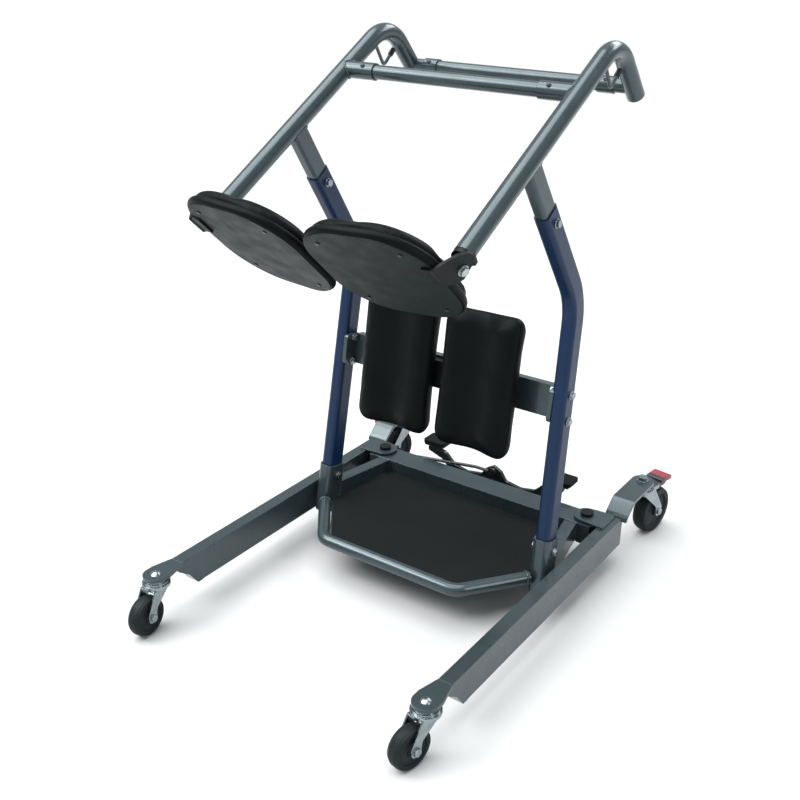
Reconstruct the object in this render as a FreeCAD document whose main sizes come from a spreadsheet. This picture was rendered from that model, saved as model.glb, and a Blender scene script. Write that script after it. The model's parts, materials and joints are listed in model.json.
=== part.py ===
import FreeCAD, Part
import math
import os
import re
from FreeCAD import Placement, Rotation, Vector

# Standing transfer aid: X to the right, open front at -Y, handlebar side at +Y, Z up.
# Every length is in millimetres; the origin is on the floor under the middle of the outline.

DIMS = {
    "leg_x": 293, "leg_w": 26, "leg_h": 60, "leg_z": 46, "leg_wall": 2,
    "leg_front_top": -364, "leg_front_low": -316, "leg_rear": 253,
    "pivot_x": 246, "pivot_y": 224, "pin_r": 8, "lug_r": 24, "lug_t": 4.5,
    "beam_y": 220, "beam_d": 54, "beam_h": 40, "beam_z": 64, "beam_wall": 2.5, "beam_half": 266,
    "rail_w": 25, "rail_rear_x": 226, "rail_front_x": 252, "rail_front_y": 52,
    "deck_z": 74, "deck_t": 2.7, "mat_t": 3,
    "tray_r": 12.5, "tray_wall": 2, "tray_z": 80, "tray_front": -114, "tray_half": 152, "tray_bend": 34,
    "mast_w": 28, "mast_d": 42, "mast_r": 9, "mast_wall": 2, "mast_foot_x": 252, "mast_top_x": 231,
    "mast_foot_y": 31.4, "mast_foot_z": 91, "mast_bend_y": 111, "mast_bend_z": 589,
    "mast_top_y": -11, "mast_top_z": 767, "mast_bend_r": 110,
    "socket_wall": 3.5, "socket_low": 50, "socket_top": 151, "lean": 9.08,
    "stub_gap": 0.3, "stub_in": 52,
    "tube_x": 231, "tube_r": 16, "tube_wall": 2, "tube_y0": -252, "tube_z0": 754.2, "tube_slope": 29.1,
    "loop_y": 206, "loop_r": 70, "loop_end_y": 300, "loop_end_z": 908,
    "bar_y": 76, "bar_z": 937, "bar_r": 12.5, "bar_joint": 163, "sleeve_r": 15,
    "rear_bar_y": 286, "rear_bar_z": 923.5,
    "knee_z": 399, "knee_y": 80.6, "knee_h": 60, "knee_t": 20, "knee_half": 224,
    "kpad_x": 88.5, "kpad_w": 167, "kpad_h": 275, "kpad_t": 42, "kpad_z": 13, "kpad_y": -37.5,
    "seat_w": 216.7, "seat_l": 238, "seat_x": -114.35, "seat_corner": 82, "board_t": 8, "cushion_t": 26.5,
    "wheel_front_r": 37.5, "wheel_front_w": 24, "wheel_rear_r": 50, "wheel_rear_w": 28,
    "caster_front_y": -417, "caster_rear_y": 380, "trail_front": 34, "trail_rear": 46,
    "fork_front_top": 85, "fork_rear_top": 112, "race_h": 15, "arm_t": 6, "arm_w": 46,
    "kingpin_r": 6, "axle_r": 5, "run_gap": 0.05,
    "swivel_fr": -13, "swivel_fl": 6, "swivel_rr": -9, "swivel_rl": 162,
    "rocker_y": 280, "rocker_z": 84, "rocker_t": 8, "crank": 24, "rocker_half": 166, "rod_r": 3.5,
}

doc = FreeCAD.newDocument("transfer_aid")
sheet = doc.addObject("Spreadsheet::Sheet", "dims")
for row, (alias, number) in enumerate(DIMS.items(), start=1):
    sheet.set("A%d" % row, alias)
    sheet.set("B%d" % row, str(number))
    sheet.setAlias("B%d" % row, alias)
doc.recompute()
D = {alias: float(sheet.get(alias)) for alias in DIMS}
NODES = []


# ---------------------------------------------------------------- building blocks

def bound(text):
    """Point every dimension name in an expression at the spreadsheet."""
    def full(match):
        name = match.group(0)
        return "dims." + name if name in DIMS else name
    return re.sub(r"[a-z][a-z_0-9]*", full, str(text))


def node(label, item):
    """Name the finished sub-part and keep it for export."""
    item.Label = label
    NODES.append(item)
    return item


def place(item, x, y, z):
    for axis, text in zip("xyz", (x, y, z)):
        item.setExpression("Placement.Base." + axis, bound(text))


def box(x0, x1, y0, y1, z0, z1):
    item = doc.addObject("Part::Box", "box")
    item.setExpression("Length", bound("(%s) - (%s)" % (x1, x0)))
    item.setExpression("Width", bound("(%s) - (%s)" % (y1, y0)))
    item.setExpression("Height", bound("(%s) - (%s)" % (z1, z0)))
    place(item, x0, y0, z0)
    return item


def turned(axis):
    return Rotation(Vector(0, 0, 1), Vector(*axis))


def cylinder(radius, height, x, y, z, axis=(0, 0, 1)):
    item = doc.addObject("Part::Cylinder", "cylinder")
    item.Placement = Placement(Vector(), turned(axis))
    item.setExpression("Radius", bound(radius))
    item.setExpression("Height", bound(height))
    place(item, x, y, z)
    return item


def sphere(radius, x, y, z):
    item = doc.addObject("Part::Sphere", "ball")
    item.setExpression("Radius", bound(radius))
    place(item, x, y, z)
    return item


def hexagon(radius, height, x, y, z, axis=(0, 0, 1)):
    item = doc.addObject("Part::Prism", "hexagon")
    item.Polygon = 6
    item.Placement = Placement(Vector(), turned(axis))
    item.setExpression("Circumradius", bound(radius))
    item.setExpression("Height", bound(height))
    place(item, x, y, z)
    return item


def cut(base, *tools):
    for tool in tools:
        item = doc.addObject("Part::Cut", "cut")
        item.Base = base
        item.Tool = tool
        base = item
    return base


def fuse(*items):
    item = doc.addObject("Part::MultiFuse", "fuse")
    item.Shapes = list(items)
    return item


def common(a, b):
    item = doc.addObject("Part::MultiCommon", "common")
    item.Shapes = [a, b]
    return item


def group(*items):
    item = doc.addObject("Part::Compound", "group")
    item.Links = list(items)
    return item


def mirror(source):
    item = doc.addObject("Part::Mirroring", "mirror")
    item.Source = source
    item.Normal = Vector(1, 0, 0)
    return item


def both(label, source):
    """A right-hand sub-part and its mirror image on the left."""
    node(label + "_right", source)
    node(label + "_left", mirror(source))


def moved(source, placement):
    """The same piece seen from another frame."""
    item = group(source)
    item.Placement = placement
    return item


def outline(points):
    """Closed chain of lines and corner arcs through (x, y, radius) points."""
    edges = []
    count = len(points)
    ends = []
    for i in range(count):
        here = Vector(points[i][0], points[i][1], 0)
        before = Vector(points[i - 1][0], points[i - 1][1], 0) - here
        after = Vector(points[(i + 1) % count][0], points[(i + 1) % count][1], 0) - here
        radius = points[i][2]
        if radius <= 0:
            ends.append((here, None, here))
            continue
        before.normalize()
        after.normalize()
        half = before.getAngle(after) / 2
        reach = radius / math.tan(half)
        middle = before + after
        middle.normalize()
        centre = here + middle * (radius / math.sin(half))
        ends.append((here + before * reach, centre - middle * radius, here + after * reach))
    for i in range(count):
        start, top, end = ends[i]
        following = ends[(i + 1) % count][0]
        if top is not None:
            edges.append(Part.Arc(start, top, end))
        if (following - end).Length > 1e-6:
            edges.append(Part.LineSegment(end, following))
    return edges


def plate(points, thickness, placement, both_sides=False):
    """A sketched outline extruded along its own normal."""
    sketch = doc.addObject("Sketcher::SketchObject", "outline")
    sketch.Placement = placement
    for edge in outline(points):
        sketch.addGeometry(edge, False)
    item = doc.addObject("Part::Extrusion", "plate")
    item.Base = sketch
    item.DirMode = "Normal"
    item.setExpression("LengthFwd", bound(thickness))
    item.Symmetric = both_sides
    item.Solid = True
    return item


UPRIGHT_YZ = Rotation(Vector(0, 1, 0), Vector(0, 0, 1), Vector(1, 0, 0), "ZXY")
UPRIGHT_XZ = Rotation(Vector(1, 0, 0), Vector(0, 0, 1), Vector(0, -1, 0), "ZXY")


def path(points, radius):
    """An open bent line with arcs of one radius at its inner corners, as edges."""
    points = [Vector(*p) for p in points]
    edges = []
    start = points[0]
    for i in range(1, len(points) - 1):
        before = points[i - 1] - points[i]
        after = points[i + 1] - points[i]
        before.normalize()
        after.normalize()
        half = before.getAngle(after) / 2
        reach = radius / math.tan(half)
        middle = before + after
        middle.normalize()
        centre = points[i] + middle * (radius / math.sin(half))
        first = points[i] + before * reach
        last = points[i] + after * reach
        edges.append(Part.LineSegment(start, first).toShape())
        edges.append(Part.Arc(first, centre - middle * radius, last).toShape())
        start = last
    edges.append(Part.LineSegment(start, points[-1]).toShape())
    return edges


def swept(points, bend, section):
    """Sweep a closed section, drawn in XY about the origin, along a bent line."""
    edges = path(points, bend)
    spine = doc.addObject("Part::Feature", "spine")
    spine.Shape = Part.Wire(edges)
    first = (Vector(*points[1]) - Vector(*points[0])).normalize()
    rotation = Rotation(Vector(1, 0, 0), Vector(0, -1, 0), first, "ZXY")
    start = Placement(Vector(*points[0]), rotation)
    section.Placement = start
    item = doc.addObject("Part::Sweep", "sweep")
    item.Sections = [section]
    item.Spine = (spine, ["Edge%d" % (i + 1) for i in range(len(edges))])
    item.Solid = True
    item.Frenet = False
    item.Transition = "Right corner"
    return item


def ring(radius):
    item = doc.addObject("Part::Circle", "ring")
    item.setExpression("Radius", bound(radius))
    return item


def rounded_section(width, depth, radius):
    item = doc.addObject("Sketcher::SketchObject", "section")
    a, b = width / 2, depth / 2
    for edge in outline([(a, b, radius), (-a, b, radius), (-a, -b, radius), (a, -b, radius)]):
        item.addGeometry(edge, False)
    return item


def round_tube(points, bend, radius, wall):
    outer = swept(points, bend, ring(radius))
    inner = swept(points, bend, ring("%s - %s" % (radius, wall)))
    return cut(outer, inner)


def flat_tube(points, bend, width, depth, radius, wall):
    outer = swept(points, bend, rounded_section(width, depth, radius))
    inner = swept(points, bend, rounded_section(width - 2 * wall, depth - 2 * wall, max(radius - wall, 0.5)))
    return cut(outer, inner)


def cross_bolt(x0, x1, y, z, radius=4):
    """A bolt lying along X: hexagon head outboard at x1, washers, and a nut inboard at x0."""
    gap = 0.4
    shank = cylinder(radius, x1 - x0 + 10, x0 - 5.5, y, z, (1, 0, 0))
    head = hexagon(radius * 1.75, 5, x1 + gap + 1.5, y, z, (1, 0, 0))
    washer = cylinder(radius * 2, 1.5, x1 + gap, y, z, (1, 0, 0))
    nut = hexagon(radius * 1.75, 5.5, x0 - gap - 7, y, z, (1, 0, 0))
    ring_in = cylinder(radius * 2, 1.5, x0 - gap - 1.5, y, z, (1, 0, 0))
    return fuse(shank, head, washer, nut, ring_in)


# ---------------------------------------------------------------- standing frame

def cross_beam():
    y0, y1 = "beam_y - beam_d / 2", "beam_y + beam_d / 2"
    shell = box("-beam_half", "beam_half", y0, y1, "beam_z", "beam_z + beam_h")
    hollow = box("-beam_half - 1", "beam_half + 1", "beam_y - beam_d / 2 + beam_wall",
                 "beam_y + beam_d / 2 - beam_wall", "beam_z + beam_wall", "beam_z + beam_h - beam_wall")
    tube = cut(shell, hollow)
    bosses = []
    bores = []
    for side in ("", "-"):
        bosses.append(cylinder("pin_r + 5", "beam_h + 1.4", side + "pivot_x", "pivot_y", "beam_z - 0.7"))
        bores.append(cylinder("pin_r", "beam_h + 10", side + "pivot_x", "pivot_y", "beam_z - 5"))
    node("cross_beam", cut(fuse(tube, *bosses), *bores))


def side_rail():
    y_rear = D["beam_y"] - D["beam_d"] / 2
    rear_x, front_x = D["rail_rear_x"], D["rail_front_x"]
    front_y, half = D["rail_front_y"], D["rail_w"] / 2
    outer = [(rear_x - half, y_rear, 0), (front_x - half, front_y, 0), (front_x + half, front_y, 0),
             (rear_x + half, y_rear, 0)]
    wall = D["beam_wall"]
    inner = [(rear_x - half + wall, y_rear, 0), (front_x - half + wall, front_y, 0),
             (front_x + half - wall, front_y, 0), (rear_x + half - wall, y_rear, 0)]
    low = Placement(Vector(0, 0, D["beam_z"]), Rotation())
    inside = Placement(Vector(0, 0, D["beam_z"] + wall), Rotation())
    both("side_rail", cut(plate(outer, "beam_h", low), plate(inner, "beam_h - 2 * beam_wall", inside),
                          mast_space()))


def mast_space():
    """The outside of the mast socket, taken out of what is welded to it."""
    width = D["mast_w"] + 2 * D["stub_gap"] + 2 * D["socket_wall"]
    depth = D["mast_d"] + 2 * D["stub_gap"] + 2 * D["socket_wall"]
    return swept(socket_line(), 1, rounded_section(width, depth, D["mast_r"] + D["socket_wall"]))


def mast_point(z):
    """Axis of the straight lower mast at a height."""
    tall = D["mast_top_z"] - D["mast_foot_z"]
    slope = (D["mast_bend_y"] - D["mast_foot_y"]) / (D["mast_bend_z"] - D["mast_foot_z"])
    x = D["mast_foot_x"] - (z - D["mast_foot_z"]) * (D["mast_foot_x"] - D["mast_top_x"]) / tall
    return (x, D["mast_foot_y"] + (z - D["mast_foot_z"]) * slope, z)


def socket_line():
    return [mast_point(D["socket_low"]), mast_point(D["socket_top"])]


def mast_socket():
    gap, wall = D["stub_gap"], D["socket_wall"]
    inner = swept([mast_point(D["mast_foot_z"] - 1), mast_point(D["socket_top"] + 4)], 1,
                  rounded_section(D["mast_w"] + 2 * gap, D["mast_d"] + 2 * gap, D["mast_r"]))
    x, y, z = mast_point(128)
    bore = cylinder(4, 80, x - 40, y, z, (1, 0, 0))
    both("mast_socket", cut(mast_space(), inner, bore))


def tray_line():
    half, front, z = D["tray_half"], D["tray_front"], D["tray_z"]
    end = (240, 2, z)
    return [(-end[0], end[1], z), (-half, front, z), (half, front, z), end]


def footplate():
    tube = round_tube(tray_line(), D["tray_bend"], "tray_r", "tray_wall")
    space = mast_space()
    node("tray_tube", cut(tube, space, mirror(space)))
    corner = [(210, 192.5, 4), (234, 62, 3), (231.5, 10, 8), (219, -2.5, 8), (146, -99, 16)]
    edge = corner + [(-x, y, r) for x, y, r in reversed(corner)]
    low = Placement(Vector(0, 0, D["deck_z"]), Rotation())
    spaces = mast_space()
    tube_space = swept(tray_line(), D["tray_bend"], ring("tray_r"))
    node("deck_plate", cut(plate(edge, "deck_t", low), spaces, mirror(spaces), tube_space))
    inset = [(207, 189.5, 4), (230.5, 62, 3), (228, 12, 8), (217, 0, 8), (144.5, -95.5, 16)]
    mat_edge = inset + [(-x, y, r) for x, y, r in reversed(inset)]
    top = Placement(Vector(0, 0, D["deck_z"] + D["deck_t"]), Rotation())
    mat_space = swept(tray_line(), D["tray_bend"], ring("tray_r + 0.4"))
    node("deck_mat", cut(plate(mat_edge, "mat_t", top), mat_space))


# ---------------------------------------------------------------- masts and handlebar

def mast_line():
    bend = mast_point(D["mast_bend_z"])
    top = (D["mast_top_x"], D["mast_top_y"], D["mast_top_z"])
    return [mast_point(D["mast_foot_z"]), bend, top]


def upper_direction():
    line = mast_line()
    return (Vector(*line[2]) - Vector(*line[1])).normalize()


def stub_end():
    """Where the stub axis reaches the axis of the handlebar tube."""
    top = Vector(*mast_line()[2])
    way = upper_direction()
    slope = math.tan(math.radians(D["tube_slope"]))
    rise = D["tube_z0"] + (top.y - D["tube_y0"]) * slope - top.z
    return top + way * (rise / (way.z - way.y * slope))


def mast():
    tube = flat_tube(mast_line(), D["mast_bend_r"], D["mast_w"], D["mast_d"], D["mast_r"], D["mast_wall"])
    low = mast_point(128)
    high = Vector(*mast_line()[2]) - upper_direction() * 24
    bores = [cylinder(4, 80, low[0] - 40, low[1], low[2], (1, 0, 0)),
             cylinder(4, 80, high.x - 40, high.y, high.z, (1, 0, 0))]
    for z in (422, 374):
        x, y, z = mast_point(z)
        bores.append(cylinder(4, 80, x - 40, y, z, (1, 0, 0)))
    both("mast", cut(tube, *bores))


def stub():
    way = upper_direction()
    top = Vector(*mast_line()[2])
    shrink = 2 * (D["mast_wall"] + D["stub_gap"])
    width, depth = D["mast_w"] - shrink, D["mast_d"] - shrink
    first, last = top - way * D["stub_in"], stub_end()
    line = [tuple(first), tuple(last)]
    solid = swept(line, 1, rounded_section(width, depth, D["mast_r"] - 2.3))
    core = swept([tuple(first - way), tuple(last)], 1, rounded_section(width - 5, depth - 5, 4))
    tube_space = swept(handle_line(), D["loop_r"], ring("tube_r"))
    high = top - way * 24
    bore = cylinder(4, 80, high.x - 40, high.y, high.z, (1, 0, 0))
    both("stub", cut(cut(solid, core), tube_space, bore))


def handle_line():
    slope = math.tan(math.radians(D["tube_slope"]))
    corner_z = D["tube_z0"] + (D["loop_y"] - D["tube_y0"]) * slope
    x = D["tube_x"]
    return [(x, D["tube_y0"], D["tube_z0"]), (x, D["loop_y"], corner_z), (x, D["loop_end_y"], D["loop_end_z"])]


def handle_tube():
    tube = round_tube(handle_line(), D["loop_r"], "tube_r", "tube_wall")
    way = tube_way()
    start = Vector(*handle_line()[0])
    plug = cylinder("tube_r - tube_wall", 18, start.x, start.y, start.z, tuple(way))
    end = Vector(*handle_line()[2])
    back = (Vector(*handle_line()[1]) - end).normalize()
    cap = cylinder("tube_r - tube_wall", 6, end.x, end.y, end.z, tuple(back))
    thread = cylinder(5, 20, start.x, start.y, start.z, tuple(way))
    both("handle_tube", cut(fuse(tube, plug, cap), thread))


def tube_way():
    angle = math.radians(D["tube_slope"])
    return Vector(0, math.cos(angle), math.sin(angle))


def crossbars():
    bar = cylinder("bar_r", "2 * bar_joint + 60", "-bar_joint - 30", "bar_y", "bar_z", (1, 0, 0))
    hollow = cylinder("bar_r - 2", "2 * bar_joint + 62", "-bar_joint - 31", "bar_y", "bar_z", (1, 0, 0))
    node("crossbar_front", cut(bar, hollow))
    rear = cylinder("bar_r", "2 * tube_x", "-tube_x", "rear_bar_y", "rear_bar_z", (1, 0, 0))
    core = cylinder("bar_r - 2", "2 * tube_x + 2", "-tube_x - 1", "rear_bar_y", "rear_bar_z", (1, 0, 0))
    right = swept(handle_line(), D["loop_r"], ring("tube_r"))
    node("crossbar_rear", cut(cut(rear, core), right, mirror(right)))
    sleeve = cylinder("sleeve_r", "tube_x - bar_joint", "bar_joint", "bar_y", "bar_z", (1, 0, 0))
    inside = cylinder("bar_r + 0.1", "tube_x - bar_joint + 2", "bar_joint - 1", "bar_y", "bar_z", (1, 0, 0))
    right = cut(sleeve, inside, swept(handle_line(), D["loop_r"], ring("tube_r")))
    rear_ring = cut(cylinder("sleeve_r", 30, "bar_joint + 4", "rear_bar_y", "rear_bar_z", (1, 0, 0)),
                    cylinder("bar_r", 32, "bar_joint + 3", "rear_bar_y", "rear_bar_z", (1, 0, 0)))
    pieces = [right, rear_ring]
    for y, z in ((D["bar_y"], D["bar_z"]), (D["rear_bar_y"], D["rear_bar_z"])):
        screw = sphere(4, 184, y - 11.4, z + 10.6)
        pieces.append(cut(screw, cylinder("sleeve_r", 40, 164, y, z, (1, 0, 0))))
    node("crossbar_sleeves", group(*(pieces + [mirror(p) for p in pieces])))


def sling_hooks():
    x = D["tube_x"]
    slope = math.tan(math.radians(D["tube_slope"]))
    y0 = 166
    z0 = D["tube_z0"] + (y0 - D["tube_y0"]) * slope - 14
    line = [(x, y0, z0), (x, 193, 931), (x, 219, 953)]
    rod = swept(line, 7, ring(3.2))
    way = (Vector(*line[2]) - Vector(*line[1])).normalize()
    tip = swept([tuple(Vector(*line[2]) - way * 7), tuple(Vector(*line[2]) + way * 7)], 1, ring(5))
    space = swept(handle_line(), D["loop_r"], ring("tube_r"))
    hook = fuse(cut(rod, space), tip)
    node("sling_hooks", group(hook, mirror(hook)))


def frame_bolts():
    low = mast_point(128)
    half = D["mast_w"] / 2 + D["stub_gap"] + D["socket_wall"]
    bolt = cross_bolt(low[0] - half, low[0] + half, low[1], low[2])
    node("socket_bolts", group(bolt, mirror(bolt)))
    high = Vector(*mast_line()[2]) - upper_direction() * 24
    half = D["mast_w"] / 2
    bolt = cross_bolt(high.x - half, high.x + half, high.y, high.z)
    node("mast_bolts", group(bolt, mirror(bolt)))


# ---------------------------------------------------------------- knee support

def knee_frame():
    """Frame of the knee bar: X across, Y through the bar, Z along the leaning masts."""
    return Placement(Vector(0, D["knee_y"], D["knee_z"]), Rotation(Vector(1, 0, 0), -D["lean"]))


def knee_support():
    bar = cut(box("-knee_half", "knee_half", 8.5, "knee_t + 8.5", "-knee_h / 2", "knee_h / 2"),
              box("-knee_half - 1", "knee_half + 1", 10.5, "knee_t + 6.5", "-knee_h / 2 + 2", "knee_h / 2 - 2"))
    node("knee_bar", moved(bar, knee_frame()))
    shape = [(-21, -31, 9), (21, -31, 9), (21, 31, 9), (-21, 31, 9)]
    spaces = swept([mast_point(300), mast_point(500)], 1, rounded_section(D["mast_w"], D["mast_d"], D["mast_r"]))
    flange = plate(shape, 8, Placement(Vector(D["knee_half"], 0, 0), UPRIGHT_YZ))
    bores = [cylinder(4, 80, 190, mast_point(z)[1], z, (1, 0, 0)) for z in (422, 374)]
    both("knee_bracket", cut(moved(flange, knee_frame()), spaces, *bores))
    bolts = []
    for z in (422, 374):
        x, y, z = mast_point(z)
        bolts.append(cross_bolt(D["knee_half"], x + D["mast_w"] / 2, y, z))
    node("knee_bolts", group(*(bolts + [mirror(b) for b in bolts])))
    saddle = box(-70, 70, -16.2, 8.4, -26, 26)
    node("knee_saddle", moved(saddle, knee_frame()))
    both("knee_pad", moved(knee_pad(), knee_frame()))


def knee_pad():
    """A shin pad with a hollowed face and rolled sides."""
    half, deep = D["kpad_w"] / 2, D["kpad_t"] / 2
    section = [(-half, deep, 12), (-half, -deep, 20), (-half + 34, -deep, 16), (-half + 58, -deep + 13, 40),
               (half - 58, -deep + 13, 40), (half - 34, -deep, 16), (half, -deep, 20), (half, deep, 12)]
    low = Placement(Vector(D["kpad_x"], D["kpad_y"], D["kpad_z"] - D["kpad_h"] / 2), Rotation())
    body = plate(section, "kpad_h", low)
    tall = D["kpad_h"] / 2
    face = [(-half, -tall, 30), (half, -tall, 30), (half, tall, 30), (-half, tall, 30)]
    front = Placement(Vector(D["kpad_x"], D["kpad_y"] + deep + 1, D["kpad_z"]), UPRIGHT_XZ)
    return common(body, plate(face, "kpad_t + 2", front))


# ---------------------------------------------------------------- seat pads

def seat_frame():
    """Frame on the outer edge of the right seat board: X outward, Z out of the cushion."""
    normal = Vector(-0.063, 0.678, 0.733)
    across = Vector(0.998, 0.043, 0.046)
    return Placement(Vector(234, -287, 716), Rotation(across, Vector(), normal, "ZXY"))


def seat_outline(grow):
    half, long, corner = D["seat_w"] / 2 + grow, D["seat_l"] / 2 + grow, D["seat_corner"] + grow
    corners = ((half, long), (-half, long), (-half, -long), (half, -long))
    return [(x + D["seat_x"], y + 2, corner) for x, y in corners]


def seat_pad():
    base = Placement(Vector(), Rotation())
    board = plate(seat_outline(0), "board_t", base)
    top = Placement(Vector(0, 0, D["board_t"] + 0.3), Rotation())
    cushion = plate(seat_outline(3), "cushion_t", top)
    both("seat_board", moved(board, seat_frame()))
    both("seat_cushion", moved(cushion, seat_frame()))
    screws = []
    for x in (-70, 70):
        for y in (-84, 84):
            screws.append(cylinder(3.4, 1.6, x + D["seat_x"], y + 2, -1.6))
    screws.append(cheek_bolt())
    both("seat_screws", moved(group(*screws), seat_frame()))
    both("seat_arm", seat_arm())


CHEEK_FOOT = Vector(-8, 0, -4)
CHEEK_UP = Vector(0.508, 0, 0.861)
CHEEK_OUT = Vector(0.861, 0, -0.508)
CHEEK_THICK = 5
CHEEK_BOLT = CHEEK_FOOT + CHEEK_UP * 35.4 + Vector(0, -9.9, 0)


def cheek_bolt():
    """Bolt through the slanted cheek of the seat bracket, in the seat frame."""
    out = tuple(CHEEK_OUT)
    inner = CHEEK_BOLT - CHEEK_OUT * 4.5
    outer = CHEEK_BOLT + CHEEK_OUT * CHEEK_THICK
    head_at = outer + CHEEK_OUT * 1.5
    shank = cylinder(4, 14, inner.x, inner.y, inner.z, out)
    nut = hexagon(7, 4.5, inner.x, inner.y, inner.z, out)
    washer = cylinder(9, 1.5, outer.x, outer.y, outer.z, out)
    head = hexagon(7.5, 5, head_at.x, head_at.y, head_at.z, out)
    return fuse(shank, nut, washer, head)


def seat_arm():
    """Black bent plate: a foot under the board, a slanted cheek, and a boss on the tube's end."""
    foot = box(-24, -5.6, -54, -16, -4, 0)
    rest = Placement(CHEEK_FOOT, Rotation(Vector(0, 1, 0), Vector(), CHEEK_OUT, "ZXY"))
    shape = [(-56, 0, 3), (-14, 0, 6), (3, 16, 8), (8, 30, 8), (-3, 50, 6), (-9, 60, 6), (-27, 58, 7),
             (-41, 44, 10), (-52, 18, 8)]
    cheek = plate(shape, CHEEK_THICK, rest)
    bolt_from = CHEEK_BOLT - CHEEK_OUT * 10
    bolt_bore = cylinder(4, 30, bolt_from.x, bolt_from.y, bolt_from.z, tuple(CHEEK_OUT))
    gusset = box(10, 20, -20, 2, 38, 47)
    bent = moved(cut(fuse(foot, cheek, gusset), bolt_bore), seat_frame())
    start = Vector(*handle_line()[0])
    way = tube_way()
    top = start - way * 0.5
    down = tuple(way * -1)
    boss = cylinder(15.5, 8, top.x, top.y, top.z, down)
    web = plate([(0, -8, 0), (22.5, -8, 0), (22.5, 12, 0), (0, 12, 0)], 8,
                Placement(top, Rotation(Vector(1, 0, 0), Vector(), way * -1, "ZXY")))
    far = start + way * 1
    bore = cylinder("5 + run_gap", 14, far.x, far.y, far.z, down)
    room = cylinder("tube_r + 1", 40, top.x, top.y, top.z, tuple(way))
    return cut(fuse(bent, boss, web), bore, room)


def seat_pivots():
    """The bolt in each tube's end that a seat swings on, with its washer and head."""
    start = Vector(*handle_line()[0])
    way = tube_way()
    down = tuple(way * -1)
    inner = start + way * 19.5
    shank = cylinder(5, 33, inner.x, inner.y, inner.z, down)
    washer_at = start - way * 8.9
    washer = cylinder(9, 1.5, washer_at.x, washer_at.y, washer_at.z, down)
    head_at = washer_at - way * 1.5
    head = hexagon(7.5, 4, head_at.x, head_at.y, head_at.z, down)
    bolt = fuse(shank, washer, head)
    node("seat_pivot_bolts", group(bolt, mirror(bolt)))


# ---------------------------------------------------------------- legs

def rod_y():
    """Plane of the two tie rods, just ahead of the rocker."""
    return D["rocker_y"] - D["rocker_t"] / 2 - 5.5


def leg():
    side = Placement(Vector(D["leg_x"] - D["leg_w"] / 2, 0, 0), UPRIGHT_YZ)
    low, high = D["leg_z"], D["leg_z"] + D["leg_h"]
    shape = [(D["leg_front_low"], low, 0), (D["leg_rear"], low, 0), (D["leg_rear"], high, 0),
             (D["leg_front_top"], high, 0)]
    outer = plate(shape, "leg_w", side)
    wall = D["leg_wall"]
    inside = Placement(Vector(D["leg_x"] - D["leg_w"] / 2 + wall, 0, 0), UPRIGHT_YZ)
    hollow = [(D["leg_front_low"] - 8, low + wall, 0), (D["leg_rear"] + 1, low + wall, 0),
              (D["leg_rear"] + 1, high - wall, 0), (D["leg_front_top"] - 4, high - wall, 0)]
    tube = cut(outer, plate(hollow, "leg_w - 2 * leg_wall", inside))
    px, py, r = D["pivot_x"], D["pivot_y"], D["lug_r"]
    ear = [(px - r, py - r, r - 1), (px - r, py + r, r - 1), (D["leg_x"] - 1, py + r + 6, 2),
           (D["leg_x"] - 1, py - r - 6, 2)]
    top = plate(ear, "lug_t", Placement(Vector(0, 0, high), Rotation()))
    ear_low = [(px - r, py - r, r - 1), (px - r, py + r, r - 1), (D["leg_x"] - D["leg_w"] / 2, py + r + 6, 0),
               (D["leg_x"] - D["leg_w"] / 2, py - r - 6, 0)]
    bottom = plate(ear_low, "lug_t", Placement(Vector(0, 0, D["beam_z"] - 1.2 - D["lug_t"]), Rotation()))
    bore = cylinder("pin_r + run_gap", 90, px, py, 40)
    post = cylinder(4, 38, px, rod_y(), 58.4)
    inner = D["leg_x"] - D["leg_w"] / 2
    finger = plate([(px - 9, py + 16, 4), (px - 9, rod_y() + 9, 8), (px + 10, rod_y() + 9, 8),
                    (inner, D["leg_rear"] - 1, 2), (inner, py + 10, 2)],
                   "lug_t", Placement(Vector(0, 0, D["beam_z"] - 1.2 - D["lug_t"]), Rotation()))
    return tube, top, bottom, bore, post, finger


def nose():
    """Plate over the slanted front of the leg, carrying the front caster."""
    high = D["leg_z"] + D["leg_h"]
    x, y = D["leg_x"], D["caster_front_y"]
    flat = plate([(x - 13, D["leg_front_top"] + 2, 0), (x - 23, y + 14, 14), (x - 23, y - 23, 22.5),
                  (x + 23, y - 23, 22.5), (x + 23, y + 14, 14), (x + 13, D["leg_front_top"] + 2, 0)],
                 "arm_t", Placement(Vector(0, 0, high - D["arm_t"]), Rotation()))
    side = Placement(Vector(x - 13, 0, 0), UPRIGHT_YZ)
    skin = [(D["leg_front_top"] + 2, high, 0), (D["leg_front_top"] - 6, high, 0),
            (D["leg_front_top"] - 14, high - 12, 8), (D["leg_front_top"] + 16, high - 34, 10),
            (D["leg_front_low"] - 12, D["leg_z"] - 1, 3), (D["leg_front_low"] + 2, D["leg_z"] - 1, 0)]
    face = plate(skin, "leg_w", side)
    return cut(fuse(flat, face), cylinder("kingpin_r", 40, x, y, 90))


def leg_set():
    tube, top, bottom, bore, post, finger = leg()
    body = fuse(tube, top, bottom, finger, post)
    both("leg_tube", cut(body, bore))
    skin = nose()
    room = box("leg_x - leg_w / 2 - 1", "leg_x + leg_w / 2 + 1", "leg_front_low - 60", "leg_rear - 20", 0, 44.9)
    solid = plate([(D["leg_front_low"], D["leg_z"], 0), (0, D["leg_z"], 0), (0, D["leg_z"] + D["leg_h"], 0),
                   (D["leg_front_top"], D["leg_z"] + D["leg_h"], 0)], 60,
                  Placement(Vector(D["leg_x"] - 30, 0, 0), UPRIGHT_YZ))
    both("leg_nose", cut(skin, room, solid))
    both("rear_arm", rear_arm())
    both("leg_fasteners", leg_fasteners())


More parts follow.
